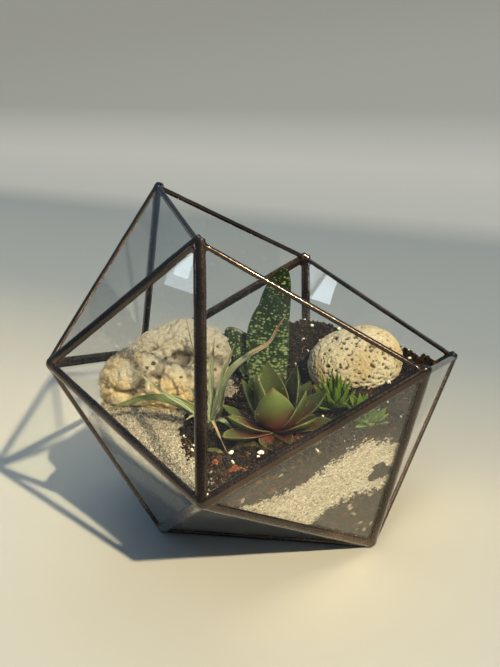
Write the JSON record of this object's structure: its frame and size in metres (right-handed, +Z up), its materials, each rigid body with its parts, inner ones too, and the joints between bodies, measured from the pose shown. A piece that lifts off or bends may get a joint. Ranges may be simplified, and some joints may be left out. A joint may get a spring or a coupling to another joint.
{
  "type": "planted glass terrarium",
  "caption": "Open faceted glass terrarium with soldered seams, layered soil and sand, stones and succulents.",
  "frame": {"origin": "middle of the bounding box in plan, at the underside of the base seams", "axes": "+Z up, +X towards the low side of the tilted opening"},
  "size_m": [0.2263, 0.1962, 0.1831],
  "materials": {
    "clear_glass": "clear float glass, slightly dusty",
    "solder": "hand-run solder with a dark copper-brown patina",
    "soil": "moist dark potting soil",
    "sand": "coarse white sand",
    "limestone": "porous pale limestone",
    "pumice": "pitted beige pumice",
    "houseleek_leaf": "waxy grey-green leaf with red foot",
    "gasteria_leaf": "dark green leaf with pale spots",
    "air_plant_leaf": "silvery green scaled leaf",
    "haworthia_leaf": "bright green smooth leaf",
    "bark": "orange-brown bark",
    "perlite": "white porous perlite"
  },
  "bodies": {
    "root": {"air_plant": "air_plant_leaf", "bark_chip_1": "bark", "bark_chip_2": "bark", "bottom_soil": "soil", "gasteria": "gasteria_leaf", "haworthia_1": "haworthia_leaf", "haworthia_2": "haworthia_leaf", "haworthia_3": "haworthia_leaf", "houseleek": "houseleek_leaf", "limestone_rock": "limestone", "pane_abc": "clear_glass", "pane_ack": "clear_glass", "pane_agk": "clear_glass", "pane_bcd": "clear_glass", "pane_bde": "clear_glass", "pane_cdi": "clear_glass", "pane_cik": "clear_glass", "pane_deh": "clear_glass", "pane_dhi": "clear_glass", "pane_efh": "clear_glass", "pane_fgl": "clear_glass", "pane_fhl": "clear_glass", "pane_gkl": "clear_glass", "pane_hil": "clear_glass", "pane_ikl": "clear_glass", "perlite_1": "perlite", "perlite_2": "perlite", "pumice_stone": "pumice", "rim_ab": "solder", "rim_ag": "solder", "rim_be": "solder", "rim_ef": "solder", "rim_fg": "solder", "sand_band": "sand", "seam_ac": "solder", "seam_ak": "solder", "seam_bc": "solder", "seam_bd": "solder", "seam_cd": "solder", "seam_ci": "solder", "seam_ck": "solder", "seam_de": "solder", "seam_dh": "solder", "seam_di": "solder", "seam_eh": "solder", "seam_fh": "solder", "seam_fl": "solder", "seam_gk": "solder", "seam_gl": "solder", "seam_hi": "solder", "seam_hl": "solder", "seam_ik": "solder", "seam_il": "solder", "seam_kl": "solder", "strewn_sand": "sand", "top_soil": "soil"}
  },
  "joints": []
}
